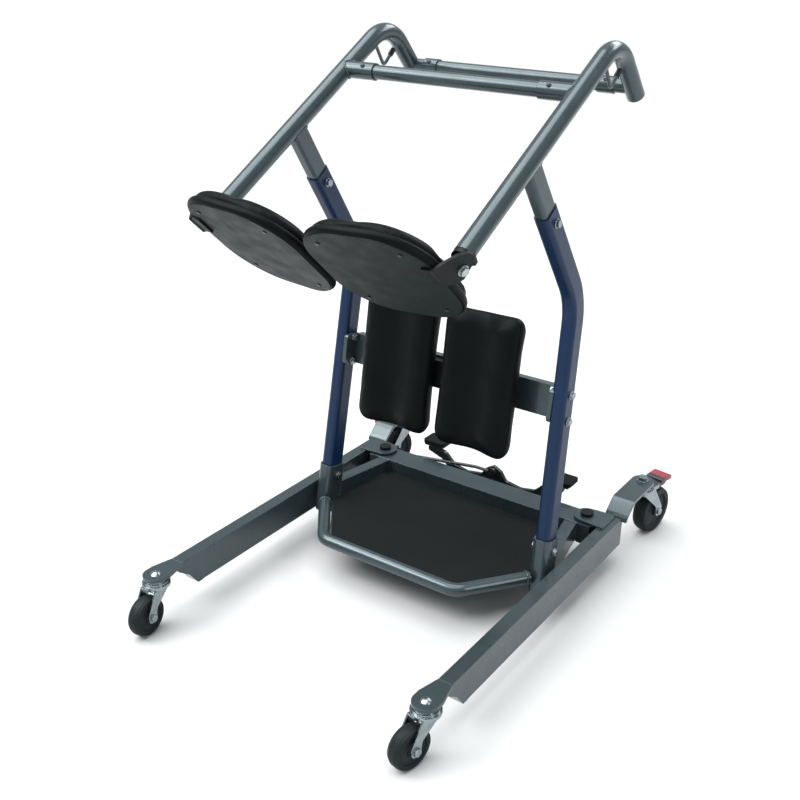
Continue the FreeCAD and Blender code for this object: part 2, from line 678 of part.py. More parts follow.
def rear_arm():
    x, y0, yc = D["leg_x"], D["leg_rear"] + 0.2, D["caster_rear_y"]
    top = D["fork_rear_top"] + D["race_h"] + D["arm_t"]
    t = D["arm_t"]
    shape = [(y0, D["leg_z"], 0), (y0 + t, D["leg_z"], 0), (y0 + t, 104, 22), (y0 + t + 34, top - t, 24),
             (yc + 24, top - t, 0), (yc + 24, top, 0), (y0 + 34, top, 30), (y0, 104, 28)]
    strip = plate(shape, "arm_w", Placement(Vector(x - D["arm_w"] / 2, 0, 0), UPRIGHT_YZ))
    tip = plate([(x - 23, y0 - 5, 0), (x - 23, yc + 24, 22.5), (x + 23, yc + 24, 22.5), (x + 23, y0 - 5, 0)], 120,
                Placement(Vector(0, 0, 40), Rotation()))
    waist = box("leg_x - arm_w / 2 - 1", "leg_x - leg_w / 2", "leg_rear - 1", "leg_rear + 12", 0, 100)
    waist_out = box("leg_x + leg_w / 2", "leg_x + arm_w / 2 + 1", "leg_rear - 1", "leg_rear + 12", 0, 100)
    bore = cylinder("kingpin_r", 60, x, yc, 100)
    screw = cylinder(5, 30, x, D["leg_rear"] - 10, 64, (0, 1, 0))
    return cut(common(strip, tip), waist, waist_out, bore, screw)


def leg_fasteners():
    """Kingpins with their heads and the bolt that holds the rear arm."""
    x, front, rear = D["leg_x"], D["caster_front_y"], D["caster_rear_y"]
    leg_top = D["leg_z"] + D["leg_h"]
    low = D["fork_front_top"] - 9
    dome = cut(sphere(13, x, front, leg_top - 8), cylinder(20, 20, x, front, leg_top - 20))
    pin = fuse(cylinder("kingpin_r", leg_top - low, x, front, low), dome,
               cylinder(9, 4, x, front, low - 3))
    top = D["fork_rear_top"] + D["race_h"] + D["arm_t"]
    low = D["fork_rear_top"] - 9
    king = fuse(cylinder("kingpin_r", top + 9 - low, x, rear, low), cylinder(12, 2, x, rear, top),
                hexagon(10, 8, x, rear, top + 2), cylinder(9, 4, x, rear, low - 3))
    y = D["leg_rear"] + D["arm_t"] + 0.2
    bolt = fuse(cylinder(5, 16, x, y - 14, 64, (0, 1, 0)), cylinder(8.5, 2, x, y, 64, (0, 1, 0)),
                hexagon(7.5, 6, x, y + 2, 64, (0, 1, 0)))
    return group(pin, king, bolt)


def pivot_pins():
    high = D["leg_z"] + D["leg_h"] + D["lug_t"]
    low = D["beam_z"] - 1.2 - D["lug_t"]
    pin = fuse(cylinder("pin_r", high - low + 1.4, "pivot_x", "pivot_y", low - 0.7),
               cylinder(12.5, 6, "pivot_x", "pivot_y", high + 0.4), cylinder(11, 4, "pivot_x", "pivot_y", low - 4.4))
    node("pivot_pins", group(pin, mirror(pin)))


# ---------------------------------------------------------------- casters

BRAKE_PIN = (32, 0)


def caster(tag, x, y, trail, radius, width, top, swivel):
    """Fork with ball race and axle, and a wheel, swivelled about the kingpin."""
    inner, thick = width / 2 + 2.6, 2.6
    outer = inner + thick
    sense = 1 if trail > 0 else -1
    crown = cut(box(-outer, outer, min(-20 * sense, 24 * sense), max(-20 * sense, 24 * sense), top - 3, top))
    way = 1 if sense > 0 else -1
    side = [(-19 * way, top, 0), (23 * way, top, 0), (trail + 11 * way, radius + 8, 10),
            (trail + 9 * way, radius - 10, 8), (trail - 9 * way, radius - 10, 8), (trail - 12 * way, radius + 14, 12)]
    cheek = plate(side, thick, Placement(Vector(inner, 0, 0), UPRIGHT_YZ))
    other = plate(side, thick, Placement(Vector(-outer, 0, 0), UPRIGHT_YZ))
    cup = fuse(cylinder(25.5, 6, 0, 0, top), cylinder(22.5, 4, 0, 0, top + 6),
               cylinder(20, D["race_h"] - 10.4, 0, 0, top + 10))
    axle = fuse(cylinder("axle_r", 2 * outer + 2, -outer - 1, trail, radius, (1, 0, 0)),
                hexagon(7.5, 4, outer + 0.2, trail, radius, (1, 0, 0)),
                hexagon(7.5, 4, -outer - 4.2, trail, radius, (1, 0, 0)))
    room = cylinder("kingpin_r + run_gap", 60, 0, 0, top - 20)
    pieces = [crown, cheek, other, cup, axle]
    if sense > 0:
        pieces.append(cylinder(3, 2 * outer, -outer, BRAKE_PIN[0], top + BRAKE_PIN[1], (1, 0, 0)))
        for x0, x1 in ((-outer, -inner + 0.6), (inner - 0.6, outer)):
            pieces.append(box(x0, x1, 18, BRAKE_PIN[0] + 5, top - 3, top + BRAKE_PIN[1] + 5))
    fork = cut(fuse(*pieces), room)
    at = Placement(Vector(x, y, 0), Rotation(Vector(0, 0, 1), swivel))
    node("caster_fork_" + tag, moved(fork, at))
    tyre = wheel(radius, width, trail)
    node("caster_wheel_" + tag, moved(tyre, at))
    return at


def wheel(radius, width, trail):
    """Turned wheel: rounded tread, recessed sides, hub, and a plain bore."""
    half, hub = width / 2, width / 2 + 2.2
    bore = D["axle_r"] + D["run_gap"]
    shape = [(bore, -hub, 0), (12, -hub, 1), (12, -half + 4, 2), (radius * 0.68, -half + 4, 2),
             (radius * 0.72, -half, 2), (radius - 3, -half, 2), (radius, -half * 0.45, 5),
             (radius, half * 0.45, 5), (radius - 3, half, 2), (radius * 0.72, half, 2),
             (radius * 0.68, half - 4, 2), (12, half - 4, 2), (12, hub, 1), (bore, hub, 0)]
    sketch = doc.addObject("Sketcher::SketchObject", "section")
    for edge in outline(shape):
        sketch.addGeometry(edge, False)
    item = doc.addObject("Part::Revolution", "turned")
    item.Source = sketch
    item.Axis = Vector(0, 1, 0)
    item.Base = Vector(0, 0, 0)
    item.Angle = 360
    item.Solid = True
    return moved(item, Placement(Vector(0, trail, radius), Rotation(Vector(0, 0, 1), -90)))


def brake(tag, at):
    """Foot brake over the rear wheel: steel lever with a pedal pad, hinged on the fork."""
    top = D["fork_rear_top"]
    y0, y1 = BRAKE_PIN[0], D["trail_rear"] + 34
    z0 = top + BRAKE_PIN[1]
    lever = plate([(y0, z0 - 4, 0), (y0, z0 + 5, 0), (y1, top + 8, 3), (y1, top + 3, 3), (y0 + 38, top - 1, 5),
                   (y0 + 34, top - 7, 2), (y0 + 20, top - 6, 3)], 30, Placement(Vector(-15, 0, 0), UPRIGHT_YZ))
    barrel = cylinder(5, 30, -15, y0, z0, (1, 0, 0))
    pad = plate([(y1 - 34, top + 4, 2), (y1 - 34, top + 11, 3), (y1 + 2, top + 12, 4), (y1 + 4, top + 2, 3),
                 (y1 - 4, top + 2, 2)], 38, Placement(Vector(-19, 0, 0), UPRIGHT_YZ))
    bore = cylinder("3 + run_gap", 60, -30, y0, z0, (1, 0, 0))
    node("brake_pedal_" + tag, moved(cut(fuse(lever, barrel, pad), bore), at))


def casters():
    front = ("wheel_front_r", "wheel_front_w", "fork_front_top")
    rear = ("wheel_rear_r", "wheel_rear_w", "fork_rear_top")
    for tag, sign in (("right", 1), ("left", -1)):
        short = "fr" if sign > 0 else "fl"
        caster("front_" + tag, sign * D["leg_x"], D["caster_front_y"], -D["trail_front"],
               D[front[0]], D[front[1]], D[front[2]], D["swivel_" + short])
        short = "rr" if sign > 0 else "rl"
        at = caster("rear_" + tag, sign * D["leg_x"], D["caster_rear_y"], D["trail_rear"],
                    D[rear[0]], D[rear[1]], D[rear[2]], D["swivel_" + short])
        brake(tag, at)


# ---------------------------------------------------------------- spreading pedal

def pedal_set():
    y, z, t = D["rocker_y"], D["rocker_z"], D["rocker_t"]
    half = D["rocker_half"]
    right = [(0, z + 36, 8), (18, z + 26, 10), (30, z + 8, 12), (66, z + 2, 14), (98, z + 8, 14),
             (122, z + 32, 20), (half, z + 38, 4), (half, z + 26, 4), (130, z + 14, 16), (106, z - 10, 16),
             (60, z - 14, 16), (24, z - 18, 10), (12, z - 34, 8)]
    left = [(-x, w, r) for x, w, r in reversed(right[1:])]
    bar = plate(right + left, "rocker_t", Placement(Vector(0, y + t / 2, 0), UPRIGHT_XZ))
    bore = cylinder("6 + run_gap", 40, 0, y - 20, z, (0, 1, 0))
    pins = [cylinder(4, 10, 0, y - t / 2 - 9, z + D["crank"], (0, 1, 0)),
            cylinder(4, 10, 0, y - t / 2 - 9, z - D["crank"], (0, 1, 0))]
    shelf = [box(half - 36, half + 10, y - t / 2, y + 34, z + 36, z + 40),
             box(-half - 10, -half + 36, y - t / 2, y + 34, z + 36, z + 40)]
    node("pedal_rocker", cut(fuse(bar, *(pins + shelf)), bore))
    pads = []
    for side in (1, -1):
        x0, x1 = sorted((side * (half - 38), side * (half + 14)))
        pads.append(plate([(x0, y - 5, 6), (x1, y - 5, 6), (x1, y + 37, 6), (x0, y + 37, 6)], 8,
                          Placement(Vector(0, 0, z + 40), Rotation())))
    node("pedal_pads", group(*pads))
    rear_face = D["beam_y"] + D["beam_d"] / 2
    strut = box(-16, 16, rear_face, y + t / 2 + 8, z - 20, z - 15)
    cheek = plate([(-16, z - 20, 0), (16, z - 20, 0), (16, z + 4, 6), (0, z + 14, 14), (-16, z + 4, 6)], 5,
                  Placement(Vector(0, rear_face + 5, 0), UPRIGHT_XZ))
    pin = cylinder(6, y + t / 2 + 5 - rear_face, 0, rear_face, z, (0, 1, 0))
    head = cylinder(10, 4, 0, y + t / 2 + 0.5, z, (0, 1, 0))
    node("pedal_bracket", fuse(cheek, pin, head, box(-16, 16, rear_face, rear_face + 5, z - 20, z - 15)))
    for tag, side, rise in (("right", 1, -D["crank"]), ("left", -1, D["crank"])):
        node("tie_rod_" + tag, tie_rod(side, z + rise))


def tie_rod(side, z_in):
    """Flat-ended rod from the crank pin on the rocker to the post on the leg finger."""
    y_in = rod_y()
    x_out, y_out = side * D["pivot_x"], y_in
    z_out = 84
    eye = cylinder(9, 5, 0, y_in - 2.5, z_in, (0, 1, 0))
    line = [(side * 8.5, y_in, z_in), (side * 40, y_in, z_in), (x_out - side * 40, y_out, z_out),
            (x_out - side * 7, y_out, z_out)]
    rod = swept(line, 20, ring("rod_r"))
    far = cylinder(10, 8, x_out, y_out, z_out - 4)
    clear = [cylinder("4 + run_gap", 20, 0, y_in - 10, z_in, (0, 1, 0)), cylinder(6.2, 20, x_out, y_out, z_out - 10)]
    return cut(fuse(eye, rod, far), *clear)


# ---------------------------------------------------------------- build, check, export

cross_beam()
side_rail()
mast_socket()
footplate()
mast()
stub()
handle_tube()
crossbars()
sling_hooks()
frame_bolts()
knee_support()
seat_pad()
seat_pivots()
leg_set()
pivot_pins()
casters()
pedal_set()
doc.recompute()

for item in doc.Objects:
    if "Invalid" in item.State or "Error" in item.State:
        raise RuntimeError("%s (%s) did not recompute: %s" % (item.Name, item.Label, item.State))
os.makedirs("parts", exist_ok=True)
for item in NODES:
    shape = item.Shape
    if shape.isNull() or not shape.isValid() or not shape.Solids:
        raise RuntimeError("bad shape: " + item.Label)
    for solid in shape.Solids:
        if solid.Volume < 1:
            raise RuntimeError("empty solid: " + item.Label)
    shape.exportStep("parts/%s.step" % item.Label)
    box_ = shape.BoundBox
    print("%-22s solids %d volume %9.0f  x %.1f %.1f y %.1f %.1f z %.1f %.1f" % (
        item.Label, len(shape.Solids), shape.Volume, box_.XMin, box_.XMax, box_.YMin, box_.YMax, box_.ZMin, box_.ZMax))
print("nodes", len(NODES))
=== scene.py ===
import json
import math

import bmesh
import bpy
import numpy as np
from mathutils import Matrix, Vector


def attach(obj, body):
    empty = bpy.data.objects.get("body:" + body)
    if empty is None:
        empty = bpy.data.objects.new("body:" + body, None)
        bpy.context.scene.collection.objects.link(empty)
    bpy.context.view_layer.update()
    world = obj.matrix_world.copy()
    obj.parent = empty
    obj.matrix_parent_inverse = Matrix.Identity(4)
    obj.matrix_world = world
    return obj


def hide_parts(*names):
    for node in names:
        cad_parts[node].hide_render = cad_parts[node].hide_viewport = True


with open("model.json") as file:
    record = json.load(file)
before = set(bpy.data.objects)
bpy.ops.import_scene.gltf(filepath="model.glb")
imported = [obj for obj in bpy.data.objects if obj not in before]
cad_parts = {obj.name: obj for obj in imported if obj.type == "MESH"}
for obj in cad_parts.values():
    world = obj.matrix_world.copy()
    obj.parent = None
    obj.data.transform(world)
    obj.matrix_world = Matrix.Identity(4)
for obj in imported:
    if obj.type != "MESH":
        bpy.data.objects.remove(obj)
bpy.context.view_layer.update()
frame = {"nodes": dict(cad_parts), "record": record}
NODES = frame["nodes"]
JOINTS = {j["name"]: j for j in frame["record"]["behaviour"]["joints"]}
SIDES = (("right", 1.0), ("left", -1.0))

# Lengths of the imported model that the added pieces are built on, in metres.
TUBE_R = 0.016
SLEEVE_R = 0.0150
WELD_GAP = 0.0002
TUBE_X = 0.231
TUBE_START = Vector((TUBE_X, -0.252, 0.7542))
TUBE_SLOPE = math.radians(29.1)
TUBE_WAY = Vector((0, math.cos(TUBE_SLOPE), math.sin(TUBE_SLOPE)))
SEAT_EDGE = (0.234, -0.287, 0.716)
SEAT_OUT = (0.998, 0.043, 0.046)
SEAT_NORMAL = (-0.063, 0.678, 0.733)
RED_FROM = 0.026


# ------------------------------------------------------------------ node materials

class Shader:
    """A Principled material with short calls for its pattern nodes."""

    def __init__(self, name, rough=0.5, metal=0.0, spec=0.5):
        self.mat = bpy.data.materials.new(name)
        self.mat.use_nodes = True
        self.tree = self.mat.node_tree
        self.bsdf = self.tree.nodes["Principled BSDF"]
        self.bsdf.inputs["Roughness"].default_value = rough
        self.bsdf.inputs["Metallic"].default_value = metal
        self.bsdf.inputs["Specular IOR Level"].default_value = spec
        self.coords = self.add("ShaderNodeTexCoord").outputs["Object"]

    def add(self, kind, **settings):
        node = self.tree.nodes.new(kind)
        for key, value in settings.items():
            setattr(node, key, value)
        return node

    def link(self, output, socket):
        self.tree.links.new(output, socket)

    def stretched(self, scale, turn=(0, 0, 0)):
        """Object coordinates scaled and turned, for streaks."""
        node = self.add("ShaderNodeMapping")
        node.inputs["Scale"].default_value = scale
        node.inputs["Rotation"].default_value = turn
        self.link(self.coords, node.inputs["Vector"])
        return node.outputs["Vector"]

    def noise(self, scale, detail=3.0, rough=0.5, vector=None):
        node = self.add("ShaderNodeTexNoise")
        node.inputs["Scale"].default_value = scale
        node.inputs["Detail"].default_value = detail
        node.inputs["Roughness"].default_value = rough
        self.link(vector or self.coords, node.inputs["Vector"])
        return node.outputs["Fac"]

    def cells(self, scale, feature="F1", vector=None):
        node = self.add("ShaderNodeTexVoronoi", feature=feature)
        node.inputs["Scale"].default_value = scale
        self.link(vector or self.coords, node.inputs["Vector"])
        return node.outputs["Distance"]

    def ramp(self, value, *stops):
        node = self.add("ShaderNodeValToRGB")
        ramp = node.color_ramp
        while len(ramp.elements) < len(stops):
            ramp.elements.new(0.5)
        for element, (at, color) in zip(ramp.elements, stops):
            element.position = at
            shade = color if isinstance(color, tuple) else (color, color, color)
            element.color = (*shade, 1.0)
        self.link(value, node.inputs["Fac"])
        return node.outputs["Color"]

    def range(self, value, low, high, to_low, to_high):
        node = self.add("ShaderNodeMapRange")
        for key, number in zip(("From Min", "From Max", "To Min", "To Max"), (low, high, to_low, to_high)):
            node.inputs[key].default_value = number
        self.link(value, node.inputs["Value"])
        return node.outputs["Result"]

    def math(self, kind, a, b=None):
        node = self.add("ShaderNodeMath", operation=kind)
        for socket, value in zip(node.inputs, (a, b)):
            if value is None:
                continue
            if isinstance(value, (int, float)):
                socket.default_value = value
            else:
                self.link(value, socket)
        return node.outputs["Value"]

    def blend(self, factor, a, b, mode="MIX"):
        node = self.add("ShaderNodeMix", data_type="RGBA", blend_type=mode)
        for socket, value in ((node.inputs[0], factor), (node.inputs[6], a), (node.inputs[7], b)):
            if isinstance(value, tuple):
                socket.default_value = (*value, 1.0)
            elif isinstance(value, (int, float)):
                socket.default_value = value
            else:
                self.link(value, socket)
        return node.outputs[2]

    def along(self, axis, centre):
        """Signed distance from a point along a direction, in metres."""
        shift = self.add("ShaderNodeVectorMath", operation="SUBTRACT")
        self.link(self.coords, shift.inputs[0])
        shift.inputs[1].default_value = centre
        dot = self.add("ShaderNodeVectorMath", operation="DOT_PRODUCT")
        self.link(shift.outputs["Vector"], dot.inputs[0])
        dot.inputs[1].default_value = axis
        return dot.outputs["Value"]

    def reach(self, axis, centre):
        """Distance from an axis line, in metres."""
        shift = self.add("ShaderNodeVectorMath", operation="SUBTRACT")
        self.link(self.coords, shift.inputs[0])
        shift.inputs[1].default_value = centre
        cross = self.add("ShaderNodeVectorMath", operation="CROSS_PRODUCT")
        self.link(shift.outputs["Vector"], cross.inputs[0])
        cross.inputs[1].default_value = axis
        size = self.add("ShaderNodeVectorMath", operation="LENGTH")
        self.link(cross.outputs["Vector"], size.inputs[0])
        return size.outputs["Value"]

    def color(self, value):
        self.link(value, self.bsdf.inputs["Base Color"])

    def roughness(self, value):
        self.link(value, self.bsdf.inputs["Roughness"])

    def bump(self, *layers, normal=None):
        """Bump from (height, depth in metres) layers, finest last."""
        for height, depth in layers:
            node = self.add("ShaderNodeBump")
            node.inputs["Strength"].default_value = 1.0
            node.inputs["Distance"].default_value = depth
            self.link(height, node.inputs["Height"])
            if normal is not None:
                self.link(normal, node.inputs["Normal"])
            normal = node.outputs["Normal"]
        self.link(normal, self.bsdf.inputs["Normal"])

    def softened(self, radius):
        node = self.add("ShaderNodeBevel", samples=4)
        node.inputs["Radius"].default_value = radius
        return node.outputs["Normal"]

    def edges(self, radius):
        """Near one on sharp edges, zero on flat faces."""
        plain = self.add("ShaderNodeNewGeometry").outputs["Normal"]
        dot = self.add("ShaderNodeVectorMath", operation="DOT_PRODUCT")
        self.link(self.softened(radius), dot.inputs[0])
        self.link(plain, dot.inputs[1])
        return self.range(dot.outputs["Value"], 1.0, 0.86, 0.0, 1.0)


def powder_coat(name, dark, light, edge, rough, metal, soften, coat=0.45):
    """Satin metallic powder coat: fine flake, faint orange peel, thinner and brighter on edges."""
    s = Shader(name, rough, metal, 0.2)
    flake = s.ramp(s.noise(950, 2, 0.7), (0.35, dark), (0.68, light))
    cloudy = s.ramp(s.noise(9, 4, 0.6), (0.3, 0.92), (0.7, 1.0))
    body = s.blend(1.0, flake, cloudy, "MULTIPLY")
    slanted = s.stretched((1, 0.35, 0.35), (0.4, 0.2, 0.7))
    scuffs = s.ramp(s.noise(60, 6, 0.75, slanted), (0.60, 0.0), (0.72, 1.0))
    worn = s.math("MULTIPLY", s.edges(0.0016), s.range(s.noise(35, 3), 0.35, 0.65, 0.05, 0.35))
    s.color(s.blend(worn, s.blend(s.math("MULTIPLY", scuffs, 0.05), body, light), edge))
    s.roughness(s.range(s.noise(22, 4, 0.6), 0.3, 0.7, rough - 0.06, rough + 0.08))
    s.bump((s.noise(330, 2), 0.00010), (s.noise(1400, 1), 0.00003), normal=s.softened(soften))
    s.bsdf.inputs["Coat Weight"].default_value = coat
    s.bsdf.inputs["Coat Roughness"].default_value = 0.12
    return s.mat


def vinyl(name):
    """Black upholstery vinyl: fine pebbled grain, soft creases, slight sheen."""
    s = Shader(name, 0.42, 0.0, 0.06)
    grain = s.cells(1150, "DISTANCE_TO_EDGE")
    pores = s.noise(2100, 2, 0.6)
    crease = s.noise(26, 5, 0.62, s.stretched((1.0, 0.55, 1.3), (0.3, 0.5, 0.1)))
    tone = s.ramp(s.noise(14, 4), (0.3, (0.0026, 0.0037, 0.0038)), (0.72, (0.0044, 0.0056, 0.0058)))
    s.color(s.blend(s.range(grain, 0.0, 0.12, 0.45, 0.0), tone, (0.0015, 0.0020, 0.0021)))
    s.roughness(s.range(s.noise(40, 4, 0.6), 0.3, 0.7, 0.36, 0.50))
    s.bump((crease, 0.0004), (grain, 0.00010), (pores, 0.00004))
    return s.mat


def moulded(name, dark, light, rough, grain=900, depth=0.00007):
    """Moulded plastic or coated board: faint texture, handling marks."""
    s = Shader(name, rough, 0.0, 0.14)
    tone = s.ramp(s.noise(11, 5, 0.65), (0.3, dark), (0.7, light))
    dust = s.ramp(s.noise(260, 4, 0.7), (0.55, 0.0), (0.8, 0.35))
    s.color(s.blend(dust, tone, tuple(min(1.0, 1.6 * c + 0.004) for c in light)))
    s.roughness(s.range(s.noise(30, 4), 0.3, 0.7, rough - 0.07, rough + 0.08))
    s.bump((s.noise(grain, 3, 0.6), depth), normal=s.softened(0.0008))
    return s.mat


def rubber_mat(name):
    """Matt rubber sheet with a fine pebble and a dusty, mottled surface."""
    s = Shader(name, 0.8, 0.0, 0.08)
    cloud = s.noise(7, 6, 0.62)
    speck = s.noise(520, 3, 0.7)
    tone = s.ramp(cloud, (0.28, (0.0042, 0.0055, 0.0056)), (0.55, (0.0065, 0.0080, 0.0082)),
                  (0.8, (0.0100, 0.0115, 0.0117)))
    s.color(s.blend(s.ramp(speck, (0.5, 0.0), (0.75, 0.5)), tone, (0.013, 0.015, 0.015)))
    s.roughness(s.range(cloud, 0.3, 0.7, 0.66, 0.86))
    s.bump((s.cells(520, "F1"), 0.00022), (speck, 0.00010))
    return s.mat


def plated(name, tint, rough):
    """Zinc plated pressed steel: faint brushing, cloudy bloom and small spots."""
    s = Shader(name, rough, 1.0, 0.5)
    streak = s.noise(320, 3, 0.6, s.stretched((1, 1, 0.16)))
    bloom = s.noise(45, 5, 0.65)
    bright = tuple(min(1.0, 1.22 * c) for c in tint)
    low = tuple(0.72 * c for c in tint)
    tone = s.ramp(bloom, (0.3, low), (0.6, tint), (0.8, bright))
    s.color(s.blend(s.math("MULTIPLY", s.edges(0.0009), 0.5), tone, bright))
    s.roughness(s.range(streak, 0.3, 0.7, rough - 0.08, rough + 0.10))
    s.bump((streak, 0.00004), normal=s.softened(0.0009))
    return s.mat


def wheel_rubber(name, axis, centre, radius):
    """Grey tread round a plastic centre, told apart by distance from the axle."""
    s = Shader(name, 0.55, 0.0, 0.14)
    out = s.reach(axis, centre)
    tyre = s.ramp(s.noise(60, 4, 0.6), (0.3, (0.0070, 0.0095, 0.0105)), (0.7, (0.0120, 0.0155, 0.0170)))
    hub = s.ramp(s.noise(90, 3), (0.3, (0.012, 0.016, 0.018)), (0.7, (0.021, 0.027, 0.030)))
    is_hub = s.range(out, 0.70 * radius, 0.715 * radius, 1.0, 0.0)
    s.color(s.blend(is_hub, tyre, hub))
    s.roughness(s.range(s.noise(50, 4), 0.3, 0.7, 0.44, 0.66))
    dust = s.noise(900, 3, 0.7)
    rings = s.add("ShaderNodeMath", operation="SINE")
    s.link(s.math("MULTIPLY", out, 2600.0), rings.inputs[0])
    s.bump((rings.outputs[0], 0.00005), (dust, 0.00008), normal=s.softened(0.001))
    return s.mat


def brake_paint(name, axis, centre, start):
    """Black coated lever with a glossy red pedal past a line across it."""
    s = Shader(name, 0.32, 0.0, 0.5)
    lever = s.ramp(s.noise(80, 3), (0.3, (0.008, 0.009, 0.010)), (0.7, (0.014, 0.016, 0.017)))
    red = s.ramp(s.noise(40, 4), (0.3, (0.17, 0.012, 0.028)), (0.7, (0.22, 0.018, 0.036)))
    past = s.range(s.along(axis, centre), start, start + 0.0005, 0.0, 1.0)
    s.color(s.blend(past, lever, red))
    s.roughness(s.range(s.noise(70, 3), 0.3, 0.7, 0.26, 0.42))
    s.bump((s.noise(800, 2), 0.00005), normal=s.softened(0.001))
    return s.mat


def screw_finish(name, outward, edge):
    """Black board screws, and a plated bolt beyond the board's outer edge."""
    s = Shader(name, 0.38, 0.0, 0.5)
    black = s.ramp(s.noise(120, 3), (0.3, (0.012, 0.014, 0.014)), (0.7, (0.024, 0.027, 0.028)))
    steel = s.ramp(s.noise(90, 4), (0.3, (0.30, 0.33, 0.34)), (0.7, (0.46, 0.49, 0.50)))
    beyond = s.range(s.along(outward, edge), -0.031, -0.030, 0.0, 1.0)
    s.color(s.blend(beyond, black, steel))
    s.link(beyond, s.bsdf.inputs["Metallic"])
    s.roughness(s.range(s.noise(60, 3), 0.3, 0.7, 0.28, 0.42))
    s.bump((s.noise(700, 2), 0.00004), normal=s.softened(0.0008))
    return s.mat


def hook_paint(name):
    """Coated rod whose end is dipped in black plastic."""
    s = Shader(name, 0.35, 0.2, 0.5)
    rod = s.ramp(s.noise(200, 3), (0.3, (0.045, 0.057, 0.064)), (0.7, (0.065, 0.080, 0.088)))
    tip = s.range(s.along((0, 0.763, 0.646), (0, 0.219, 0.953)), -0.0072, -0.0070, 0.0, 1.0)
    s.color(s.blend(tip, rod, (0.012, 0.013, 0.013)))
    s.roughness(s.range(s.noise(90, 3), 0.3, 0.7, 0.30, 0.44))
    s.bump((s.noise(900, 2), 0.00004))
    return s.mat


# Dark flake, light flake and worn edge of each coat.
GREY = ((0.036, 0.054, 0.061), (0.058, 0.082, 0.091), (0.13, 0.165, 0.175))
NAVY = ((0.0018, 0.0130, 0.042), (0.0030, 0.0220, 0.070), (0.008, 0.035, 0.10))
PEDAL_GREY = ((0.012, 0.016, 0.017), (0.022, 0.028, 0.030), (0.06, 0.07, 0.075))
MATERIALS = {
    "frame_grey": powder_coat("frame_grey", *GREY, 0.30, 0.55, 0.0022),
    "deck_steel": powder_coat("deck_steel", *GREY, 0.42, 0.5, 0.001),
    "mast_blue": powder_coat("mast_blue", *NAVY, 0.34, 0.0, 0.0015, 0.10),
    "cushion_black": vinyl("cushion_black"),
    "board_black": moulded("board_black", (0.0050, 0.0085, 0.0090), (0.0085, 0.0135, 0.0145), 0.50),
    "bracket_black": moulded("bracket_black", (0.0030, 0.0042, 0.0045), (0.0060, 0.0078, 0.0084), 0.42, 700),
    "mat_rubber": rubber_mat("mat_rubber"),
    "zinc": plated("zinc", (0.30, 0.35, 0.365), 0.24),
    "cap_plastic": moulded("cap_plastic", (0.004, 0.005, 0.005), (0.008, 0.009, 0.010), 0.38),
    "pedal_rubber": rubber_mat("pedal_rubber"),
    "pedal_steel": powder_coat("pedal_steel", *PEDAL_GREY, 0.42, 0.4, 0.001),
    "hook_steel": hook_paint("hook_steel"),
}


def paint(obj, mat):
    if not obj.material_slots:
        obj.data.materials.append(mat)
    for slot in obj.material_slots:
        slot.material = mat


for part in frame["record"]["subparts"]:
    if part["material_slot"] in MATERIALS:
        paint(NODES[part["node"]], MATERIALS[part["material_slot"]])


def paint_wheel(end, side):
    joint = JOINTS["wheel_%s_%s_spin" % (end, side)]
    centre = joint["pos_m"]
    mat = wheel_rubber("tyre_%s_%s" % (end, side), joint["axis"], centre, centre[2])
    paint(NODES["caster_wheel_%s_%s" % (end, side)], mat)


def paint_brake(side):
    """The red starts a little behind the pedal's hinge, along the lever."""
    hinge = JOINTS["brake_%s_press" % side]
    back = Vector(hinge["axis"]).cross(Vector((0, 0, 1))).normalized()
    paint(NODES["brake_pedal_" + side], brake_paint("brake_red_" + side, back, hinge["pos_m"], RED_FROM))


def paint_seat_screws(side, sign):
    name = "seat_screws_" + side
    outward = (SEAT_OUT[0] * sign, *SEAT_OUT[1:])
    edge = (SEAT_EDGE[0] * sign, *SEAT_EDGE[1:])
    paint(NODES[name], screw_finish(name, outward, edge))


for side, sign in SIDES:
    for end in ("front", "rear"):
        paint_wheel(end, side)
    paint_brake(side)
    paint_seat_screws(side, sign)


# ------------------------------------------------------------------ mesh helpers

def new_object(name, mesh_data, body, slot):
    """A smooth-shaded piece that rides on a body and wears its slot's material."""
    mesh = bpy.data.meshes.new(name)
    mesh_data.to_mesh(mesh)
    mesh_data.free()
    obj = bpy.data.objects.new(name, mesh)
    bpy.context.scene.collection.objects.link(obj)
    for face in mesh.polygons:
        face.use_smooth = True
    mesh.materials.append(MATERIALS[slot])
    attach(obj, body)
    return obj


def loft(rings, closed=False):
    """Quads between equal rings of points; the ends are filled unless the last ring joins the first."""
    b = bmesh.new()
    rows = [[b.verts.new(p) for p in ring] for ring in rings]
    count = len(rows[0])
    following = rows[1:] + rows[:1] if closed else rows[1:]
    for low, high in zip(rows, following):
        for i in range(count):
            j = (i + 1) % count
            b.faces.new((low[i], low[j], high[j], high[i]))
    if not closed:
        b.faces.new(rows[0][::-1])
        b.faces.new(rows[-1])
    bmesh.ops.recalc_face_normals(b, faces=b.faces)
    return b


def rounded_rectangle(half_x, half_y, corner, steps=10):
    points = []
    for k in range(4):
        cx = (half_x - corner) * (1 if k in (0, 3) else -1)
        cy = (half_y - corner) * (1 if k in (0, 1) else -1)
        for i in range(steps + 1):
            a = math.radians(90 * k + 90 * i / steps)
            points.append(Vector((cx + corner * math.cos(a), cy + corner * math.sin(a), 0)))
    return points


CLOTH_FRAMES = 20
SWELL = 0.004


